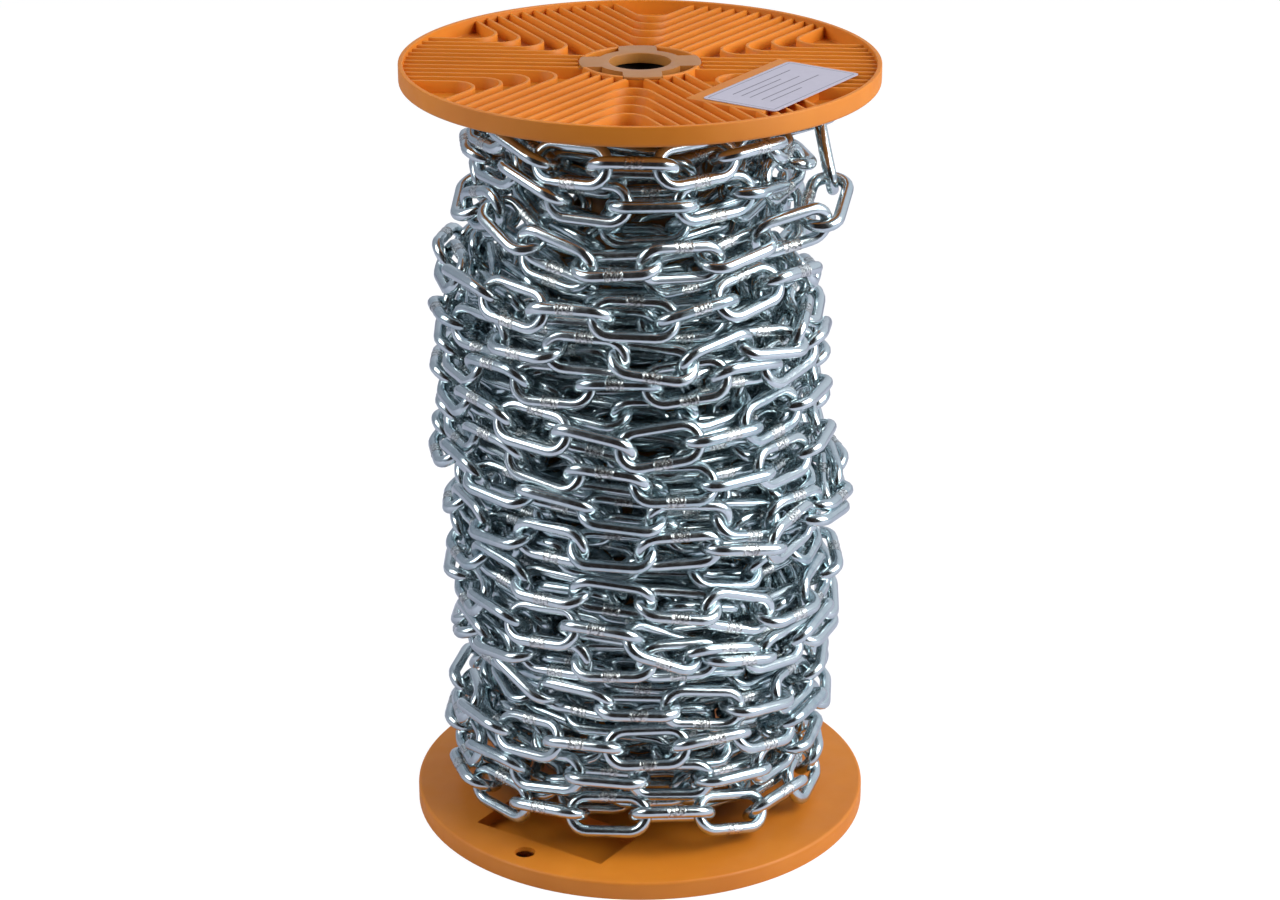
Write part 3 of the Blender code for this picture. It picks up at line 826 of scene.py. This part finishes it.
class Tangle:
    """Runs of chain that hold each other apart: joints, and the two joints and the roll of each link."""

    def __init__(self):
        self.joints = np.zeros((0, 3))
        self.rolls = np.zeros(0)
        self.starts = np.zeros(0, int)
        self.ends = np.zeros(0, int)

    def add_joints(self, joints):
        """Add joints, and say at what number they begin."""
        first = len(self.joints)
        self.joints = np.concatenate((self.joints, np.array(joints)))
        return first

    def add_links(self, joints, rolls):
        """Add links from joint to joint, and say at what number they begin."""
        first = len(self.starts)
        self.starts = np.concatenate((self.starts, joints[:-1]))
        self.ends = np.concatenate((self.ends, joints[1:]))
        self.rolls = np.concatenate((self.rolls, rolls))
        return first

    def frames(self):
        """The middle of each link, the direction along it, and the direction across its flat side."""
        start = self.joints[self.starts]
        end = self.joints[self.ends]
        middle = (start + end) / 2
        along = unit(end - start)
        outer = middle * (1.0, 1.0, 0.0)
        outer = unit(outer - dot(outer, along)[:, None] * along)
        upward = np.cross(outer, along)
        across = np.cos(self.rolls)[:, None] * upward + np.sin(self.rolls)[:, None] * outer
        return middle, along, across

    def placements(self, links):
        middle, along, across = self.frames()
        placed = np.zeros((len(self.starts), 4, 4))
        placed[:, :3, 0] = along
        placed[:, :3, 1] = across
        placed[:, :3, 2] = np.cross(along, across)
        placed[:, :3, 3] = middle
        placed[:, 3, 3] = 1.0
        return placed[links]

    def wires(self):
        """The ends of the straight pieces that stand for each link's wire while the links are pushed."""
        middle, along, across = self.frames()
        lengthwise = WIRE_CORNERS[:, :1] * along[:, None]
        sideways = WIRE_CORNERS[:, 1:] * across[:, None]
        corners = middle[:, None] + lengthwise + sideways
        return corners, np.roll(corners, -1, axis=1)

    def near_pieces(self):
        """Pairs of pieces of wire, of links that don't hang in each other, which could come to touch."""
        begin, finish = self.wires()
        middle = begin.mean(axis=1)
        apart = np.linalg.norm(middle[:, None] - middle[None], axis=2)
        one, other = np.nonzero(np.triu(apart < LINK_LENGTH, 1))
        hooked = np.zeros(len(one), bool)
        for first in (self.starts, self.ends):
            for second in (self.starts, self.ends):
                hooked |= first[one] == second[other]
        one, other = one[~hooked], other[~hooked]
        centre = (begin + finish) / 2
        half = np.linalg.norm(finish - begin, axis=2) / 2
        clear = np.linalg.norm(centre[one][:, :, None] - centre[other][:, None], axis=3)
        clear -= half[one][:, :, None] + half[other][:, None]
        pair, piece, other_piece = np.nonzero(clear < 2 * WIRE)
        found = one[pair], piece, other[pair], other_piece
        spot, other_spot = nearest_spots(begin, finish, found)
        close = np.linalg.norm(spot - other_spot, axis=1) < 2 * WIRE
        return tuple(part[close] for part in found)

    def push_apart(self, pieces):
        """Move and roll the links whose wires are in each other a little way apart."""
        begin, finish = self.wires()
        spot, other_spot = nearest_spots(begin, finish, pieces)
        between = spot - other_spot
        distance = np.linalg.norm(between, axis=1)
        met = distance < WIRE
        direction = between[met] / np.maximum(distance[met], LEAST_DISTANCE)[:, None]
        middle, along, _ = self.frames()
        sides = []
        give = 0.0
        for links, touched, sign in ((pieces[0], spot, 1.0), (pieces[2], other_spot, -1.0)):
            links = links[met]
            arm = touched[met] - middle[links]
            reach_along = dot(arm, along[links])
            share = np.clip(reach_along / LINK_PITCH + 0.5, 0.0, 1.0)
            arm -= reach_along[:, None] * along[links]
            turning = sign * dot(np.cross(along[links], arm), direction) / WIRE_REACH**2
            sides.append((links, share, turning, sign))
            give += share**2 + (1 - share) ** 2 + (turning * WIRE_REACH) ** 2
        push = (WIRE - distance[met]) / give
        shift = np.zeros_like(self.joints)
        weight = np.zeros(len(self.joints))
        turn = np.zeros(len(self.rolls))
        touches = np.zeros(len(self.rolls))
        for links, share, turning, sign in sides:
            for joints, part in ((self.starts[links], 1 - share), (self.ends[links], share)):
                np.add.at(shift, joints, direction * (sign * push * part)[:, None])
                np.add.at(weight, joints, part)
            np.add.at(turn, links, turning * push)
            np.add.at(touches, links, 1.0)
        self.joints += PUSH * shift / np.maximum(weight, 1.0)[:, None]
        self.rolls += PUSH * turn / np.maximum(touches, 1.0)

    def keep_quarter_turns(self):
        """Hold each link's roll about a quarter turn from that of the link before it."""
        follows = self.ends[:-1] == self.starts[1:]
        apart = np.mod(self.rolls[1:] - self.rolls[:-1], np.pi)
        excess = (apart - np.clip(apart, LEAST_TWIST, np.pi - LEAST_TWIST)) * follows
        self.rolls[:-1] += excess / 4
        self.rolls[1:] -= excess / 4

    def keep_pitch(self):
        """Hold the joints of each link no further apart than its length lets them be."""
        for odd in (0, 1):
            links = np.arange(len(self.starts)) % 2 == odd
            start, end = self.starts[links], self.ends[links]
            step = self.joints[end] - self.joints[start]
            length = np.linalg.norm(step, axis=1)
            excess = length - np.clip(length, LEAST_PITCH, LINK_PITCH)
            move = step * (excess / length / 2)[:, None]
            self.joints[start] += move
            self.joints[end] -= move

    def keep_on_reel(self):
        """Hold the links between the flanges and off the barrel."""
        _, _, across = self.frames()
        half_height = WIRE / 2 + WIRE_REACH * np.abs(across[:, 2])
        half_depth = WIRE / 2 + WIRE_REACH * np.sqrt(1 - across[:, 2] ** 2)
        low = np.zeros(len(self.joints))
        least = np.zeros(len(self.joints))
        for joints in (self.starts, self.ends):
            np.maximum.at(low, joints, FLANGE_HEIGHT + half_height)
            np.maximum.at(least, joints, BOSS_RADIUS + half_depth)
        self.joints[:, 2] = np.clip(self.joints[:, 2], low, REEL_HEIGHT - low)
        radius = np.linalg.norm(self.joints[:, :2], axis=1)
        self.joints[:, :2] *= (np.maximum(radius, least) / radius)[:, None]

    def settle(self, swelling):
        """Let swollen runs sink back to their places, each wire held clear of every other."""
        home = self.joints.copy()
        home_rolls = self.rolls.copy()
        radius = np.linalg.norm(home[:, :2], axis=1)
        self.joints[:, :2] *= (1 + swelling / radius)[:, None]
        for step in range(SETTLE_STEPS):
            if step % STEPS_PER_SEARCH == 0:
                pieces = self.near_pieces()
            self.push_apart(pieces)
            pull = HOME_PULL * (1 - HOME_EASING * step / SETTLE_STEPS)
            self.joints += (home - self.joints) * pull
            self.rolls += (home_rolls - self.rolls) * pull
            self.keep_quarter_turns()
            self.keep_pitch()
            self.keep_pitch()
            self.keep_on_reel()


def store(mesh, name, kind, field, values):
    """Store a value at each point of a mesh, for its material to read."""
    mesh.attributes.new(name, kind, "POINT").data.foreach_set(field, np.concatenate(values).ravel())


def make_chain(name, shapes, placements, material, seed, node, paleness_left_by_painted_shade=1.0):
    """A run of links, each with a place, a weld and a tint up to the given paleness for its material.

    At a paleness of 0 the links keep the bluer, darker zinc, as painted shade.
    """
    draw = np.random.default_rng(seed)
    points, faces, places, welds, tints = [], [], [], [], []
    count = 0
    for matrix in placements:
        shape, shape_faces, weld = shapes[int(draw.integers(len(shapes)))]
        if draw.random() < 0.5:
            matrix = matrix @ HALF_TURN
        points.append(shape @ matrix[:3, :3].T + matrix[:3, 3])
        faces.append(shape_faces + count)
        places.append(shape + draw.random(3))
        welds.append(weld)
        tints.append(np.full(len(shape), paleness_left_by_painted_shade * draw.random()))
        count += len(shape)
    mesh = bpy.data.meshes.new(name)
    mesh.from_pydata(np.concatenate(points).tolist(), [], np.concatenate(faces).tolist())
    store(mesh, "spot", "FLOAT_VECTOR", "vector", places)
    store(mesh, "weld", "FLOAT", "value", welds)
    store(mesh, "tint", "FLOAT", "value", tints)
    mesh.shade_smooth()
    clothe(mesh, material)
    dress(new_object(name, mesh), node)


def add_run(tangle, joints, rolls):
    """Add a whole run of its own joints and links, and give its links' numbers."""
    first_joint = tangle.add_joints(joints)
    first = tangle.add_links(first_joint + np.arange(len(joints)), rolls)
    return np.arange(first, first + len(rolls))


def wound_chain():
    """All layers and the slack loop, settled, with the numbers of the links of each."""
    tangle = Tangle()
    course, row_starts = outer_course()
    joints = [at(angle, winding_radius(angle, height), height) for angle, height in course[:-1]]
    joints.append(at(*LOOP_TOP))
    outer = add_run(tangle, joints, eased_rolls(len(joints) - 1, row_starts, ROW_ROLLS))
    leaving = row_starts[LOOP_ROW] + len(FRONT_ROWS[LOOP_ROW]) - 1
    slack = tangle.add_joints([at(*joint) for joint in LOOP_JOINTS])
    hooks = [leaving, slack, slack + 1, len(joints) - 1]
    loop = tangle.add_links(hooks, LOOP_ROLLS) + np.arange(len(LOOP_ROLLS))
    swelling = np.full(len(tangle.joints), SWELLING)
    deeper = []
    for depth, (_, *way, phase) in enumerate(DEEPER_LAYERS, start=1):
        layer = deeper_course(depth * LAYER_STEP, *way)
        deeper.append(add_run(tangle, layer, wandering_rolls(len(layer) - 1, phase)))
        swelling = np.append(swelling, np.full(len(layer), SWELLING * (1 - depth / len(DEEPER_LAYERS))))
    tangle.settle(swelling)
    angles = np.array([angle for angle, _ in course])
    turns = np.floor(((angles[:-1] + angles[1:]) / 2 - TURN_CUT) / (2 * math.pi)).clip(0, TURNS - 1)
    turns[leaving] = -1
    rows = [outer[turns == row] for row in range(TURNS)]
    return tangle, rows, loop, deeper


def make_chains(material):
    fine = [link_shape(*FINE_LINK, True, seed) for seed in range(WELD_VARIANTS)]
    middling = [link_shape(*MIDDLING_LINK, True, seed) for seed in range(HIDDEN_WELD_VARIANTS)]
    coarse = [link_shape(*COARSE_LINK, False, 0)]
    tangle, rows, loop, deeper = wound_chain()
    for row, links in enumerate(rows):
        name = f"turn_{row + 1:02d}_links"
        make_chain(name, fine, tangle.placements(links), material, row, f"chain_turn_{row + 1:02d}")
    make_chain("loose_loop_links", fine, tangle.placements(loop), material, TURNS, "chain_loose_loop")
    for depth, (layer, links) in enumerate(zip(DEEPER_LAYERS, deeper), start=1):
        shapes = middling if depth == 1 else coarse
        placements = tangle.placements(links)
        seed = TURNS + depth
        # The deeper layers never turn pale: their bluer, darker zinc is painted shade
        make_chain(layer[0], shapes, placements, material, seed, "chain_inner_layers", paleness_left_by_painted_shade=0.0)


# Materials


def nodes_of(name):
    material = bpy.data.materials.new(name)
    material.use_nodes = True
    tree = material.node_tree
    return material, tree, tree.nodes["Principled BSDF"]


def add_node(tree, kind, settings=(), links=()):
    """A node with its settings, and links to its inputs from (input, output) pairs."""
    node = tree.nodes.new(kind)
    for name, value in settings:
        if hasattr(node, name):
            setattr(node, name, value)
        else:
            node.inputs[name].default_value = value
    for name, output in links:
        tree.links.new(output, node.inputs[name])
    return node


def noise(place, scale, detail=3.0, roughness=0.55):
    settings = (("Scale", scale), ("Detail", detail), ("Roughness", roughness))
    return add_node(place.id_data, "ShaderNodeTexNoise", settings, (("Vector", place),)).outputs["Fac"]


def ranged(value, found=(0.3, 0.7), given=(0.0, 1.0)):
    """A value that goes over the given range while the first one goes over the range it is found in."""
    settings = zip(("From Min", "From Max", "To Min", "To Max"), (*found, *given))
    return add_node(value.id_data, "ShaderNodeMapRange", settings, (("Value", value),)).outputs["Result"]


def set_or_link(socket, value):
    """Give an input a constant, or link an output to it."""
    if isinstance(value, bpy.types.NodeSocket):
        socket.id_data.links.new(value, socket)
    else:
        socket.default_value = value


def maths(operation, *values):
    """The result of a math node. Its first value is an output, and the others may be constants."""
    node = values[0].id_data.nodes.new("ShaderNodeMath")
    node.operation = operation
    for socket, value in zip(node.inputs, values):
        set_or_link(socket, value)
    return node.outputs[0]


def mixed(share, first, second):
    """A mix of two colours, each a constant or an output."""
    node = share.id_data.nodes.new("ShaderNodeMix")
    node.data_type = "RGBA"
    set_or_link(node.inputs["Factor"], share)
    for socket, colour in zip(node.inputs[6:], (first, second)):
        set_or_link(socket, colour)
    return node.outputs[2]


def set_inputs(shader, values):
    for name, value in values.items():
        set_or_link(shader.inputs[name], value)


def bumped(height, strength, distance):
    settings = (("Strength", strength), ("Distance", distance))
    return add_node(height.id_data, "ShaderNodeBump", settings, (("Height", height),)).outputs["Normal"]


def attribute(tree, name, output):
    return add_node(tree, "ShaderNodeAttribute", (("attribute_name", name),)).outputs[output]


def plastic(name, colour, deep_colour, roughness, coat=0.0):
    """Moulded plastic: slight clouds in its colour, a fine even grain and a few duller patches."""
    material, tree, shader = nodes_of(name)
    place = tree.nodes.new("ShaderNodeTexCoord").outputs["Object"]
    clouds = ranged(noise(place, PLASTIC_CLOUDS))
    patches = [roughness + change for change in PATCH_ROUGHNESS]
    grain = noise(place, PLASTIC_GRAIN, 2.0)
    set_inputs(shader, {
        "Base Color": mixed(clouds, colour, deep_colour),
        "Roughness": ranged(noise(place, PLASTIC_PATCHES, 5.0), given=patches),
        "Coat Weight": coat,
        "Coat Roughness": COAT_ROUGHNESS,
        "Subsurface Weight": DEPTH_SHARE,
        "Subsurface Radius": DEPTH_BY_COLOUR,
        "Subsurface Scale": DEPTH,
        "Normal": bumped(grain, *PLASTIC_RELIEF),
    })
    return material


def zinc_steel():
    """Bright zinc plating: blue and pale by link, drawn lines and pits in the wire, rough at the weld.

    Links with no tint, all those of the deeper layers, stay blue and dark: painted shade.
    """
    material, tree, shader = nodes_of("zinc steel")
    spot = attribute(tree, "spot", "Vector")
    weld = attribute(tree, "weld", "Fac")
    tint = attribute(tree, "tint", "Fac")
    clouds = ranged(noise(spot, ZINC_CLOUDS))
    # A link with no tint keeps the bluer, darker zinc, which on the deeper layers is painted shade
    pale = ranged(tint, TINTS, PALE_SHARES)
    zinc = mixed(pale, mixed(clouds, BLUE_ZINC_AND_PAINTED_SHADE, ZINC), ZINC)
    speckle = noise(spot, WELD_SPECKLE)
    weld_colour = mixed(ranged(speckle, SPECKLE_FROM), DARK_WELD, WELD_ZINC)
    stretch = add_node(tree, "ShaderNodeMapping", (("Scale", LINE_STRETCH),), (("Vector", spot),))
    lines = maths("MULTIPLY", noise(stretch.outputs["Vector"], DRAWN_LINES, 2.0), LINE_RELIEF)
    pits = maths("MULTIPLY", speckle, maths("MULTIPLY", weld, PIT_RELIEF))
    patches = ranged(noise(spot, ZINC_PATCHES, 4.0), given=ZINC_ROUGHNESS)
    rougher = ranged(weld, ALL, WELD_ROUGHER)
    set_inputs(shader, {
        "Base Color": mixed(ranged(weld, ALL, WELD_SHARES), zinc, weld_colour),
        "Metallic": 1.0,
        "Roughness": maths("ADD", patches, rougher),
        "Normal": bumped(maths("ADD", lines, pits), *ZINC_RELIEF),
    })
    return material


def label_paper():
    """A pale sticker with a thin printed frame and a few ruled lines, all of them bare of words."""
    material, tree, shader = nodes_of("label paper")
    place = tree.nodes.new("ShaderNodeTexCoord").outputs["Object"]
    parts = add_node(tree, "ShaderNodeSeparateXYZ", (), (("Vector", place),))
    grain = noise(place, PAPER_GRAIN, 4.0)
    paper = mixed(ranged(grain), PAPER, PALE_PAPER)
    lines = ruled_lines(parts.outputs["X"], parts.outputs["Y"])
    set_inputs(shader, {
        "Base Color": mixed(lines, paper, PRINT),
        "Roughness": ranged(grain, given=PAPER_ROUGHNESS),
        "Normal": bumped(grain, *PAPER_RELIEF),
    })
    return material


def ruled_lines(across, along):
    """1 on the ruled lines of the sticker and on its thin frame, 0 elsewhere."""
    half_width = (LABEL_OUTER - LABEL_INNER) / 2
    past_side = maths("SUBTRACT", maths("ABSOLUTE", across), half_width)
    past_end = maths("SUBTRACT", maths("ABSOLUTE", along), LABEL_LENGTH / 2)
    past_edge = maths("MAXIMUM", past_side, past_end)
    found = maths("COMPARE", past_edge, -FRAME_MARGIN, FRAME_HALF)
    for height, start, end in RULED_LINES:
        middle = (start + end) / 2 * MM
        near = maths("COMPARE", across, height * MM, LINE_HALF)
        within = maths("COMPARE", along, middle, (end - start) / 2 * MM)
        found = maths("MAXIMUM", found, maths("MULTIPLY", near, within))
    return found


# Stage


def make_floor():
    """A pale table. The camera sees it nearly white, with a faint shadow.

    Under the reel its glow fades out by place, a painted shadow over the real shading there.
    """
    bm = bmesh.new()
    middle = Matrix.Translation((0, TABLE_SIZE / 2 - TABLE_FRONT, 0))
    bmesh.ops.create_grid(bm, x_segments=1, y_segments=1, size=TABLE_SIZE / 2, matrix=middle)
    floor = built_object("floor", bm)
    material, tree, shader = nodes_of("floor")
    set_inputs(shader, {"Base Color": FLOOR, "Roughness": FLOOR_ROUGHNESS})
    glow = add_node(tree, "ShaderNodeEmission", (("Color", WHITE), ("Strength", FLOOR_GLOW)))
    seen = tree.nodes.new("ShaderNodeLightPath").outputs["Is Camera Ray"]
    place = tree.nodes.new("ShaderNodeTexCoord").outputs["Object"]
    away = add_node(tree, "ShaderNodeVectorMath", (("operation", "LENGTH"),), ((0, place),)).outputs["Value"]
    # The glow fades out under the reel by place on the table: a painted shadow there
    rim = FLANGE_RADIUS - RIM_WALL
    share = maths("MULTIPLY", seen, ranged(away, (rim - RIM_WALL, rim), (0.0, GLOW_SHARE)))
    shaders = ((1, shader.outputs["BSDF"]), (2, glow.outputs["Emission"]))
    mix = add_node(tree, "ShaderNodeMixShader", (), (("Fac", share), *shaders))
    set_or_link(tree.nodes["Material Output"].inputs["Surface"], mix.outputs["Shader"])
    clothe(floor.data, material)


def make_world():
    """A studio with pale walls, a dim ceiling and a dark room behind the camera. The camera sees white."""
    world = bpy.data.worlds.new("studio")
    bpy.context.scene.world = world
    world.use_nodes = True
    tree = world.node_tree
    direction = tree.nodes.new("ShaderNodeTexCoord").outputs["Generated"]
    parts = add_node(tree, "ShaderNodeSeparateXYZ", (), (("Vector", direction),)).outputs
    overhead = ranged(parts["Z"], CEILING_FROM)
    aside = ranged(maths("ABSOLUTE", parts["X"]), SIDES_FROM)
    beside = maths("MAXIMUM", aside, ranged(parts["Y"], BACK_FROM))
    walls = mixed(ranged(parts["X"], WALLS_CHANGE), LEFT_WALL, RIGHT_WALL)
    room = mixed(beside, DARK_ROOM, walls)
    light = mixed(overhead, room, CEILING)
    seen = tree.nodes.new("ShaderNodeLightPath").outputs["Is Camera Ray"]
    colour = mixed(seen, light, WHITE)
    set_or_link(tree.nodes["Background"].inputs["Color"], colour)


def add_softbox(name, place, size, radiance):
    """A square light that faces the middle of the reel, as bright all over as the radiance says."""
    light = bpy.data.lights.new(name, "AREA")
    light.shape = "RECTANGLE"
    light.size, light.size_y = size
    light.energy = math.pi * size[0] * size[1] * radiance
    box = new_object(name, light)
    box.location = place
    middle = Vector((0, 0, REEL_HEIGHT / 2))
    box.rotation_euler = (middle - box.location).to_track_quat("-Z", "Y").to_euler()


def make_camera():
    data = bpy.data.cameras.new("camera")
    data.lens = CAMERA_LENS
    camera = new_object("camera", data)
    camera.location = CAMERA_PLACE
    camera.rotation_euler = (CAMERA_TILT, 0, 0)
    bpy.context.scene.camera = camera


bpy.context.scene.view_settings.view_transform = "Standard"
make_camera()
make_floor()
make_world()
for softbox in SOFTBOXES:
    add_softbox(*softbox)
make_flanges(plastic("orange plastic", ORANGE, DEEP_ORANGE, ORANGE_ROUGHNESS))
# The inside of the bore is painted near-black ochre: painted shade
painted_shade_plastic = plastic("painted shade inside of the bore", PAINTED_SHADE_OCHRE, DEEP_PAINTED_SHADE_OCHRE, BORE_ROUGHNESS)
make_barrel(plastic("ochre plastic", OCHRE, DEEP_OCHRE, OCHRE_ROUGHNESS, OCHRE_COAT), painted_shade_plastic)
make_label(label_paper())
make_chains(zinc_steel())
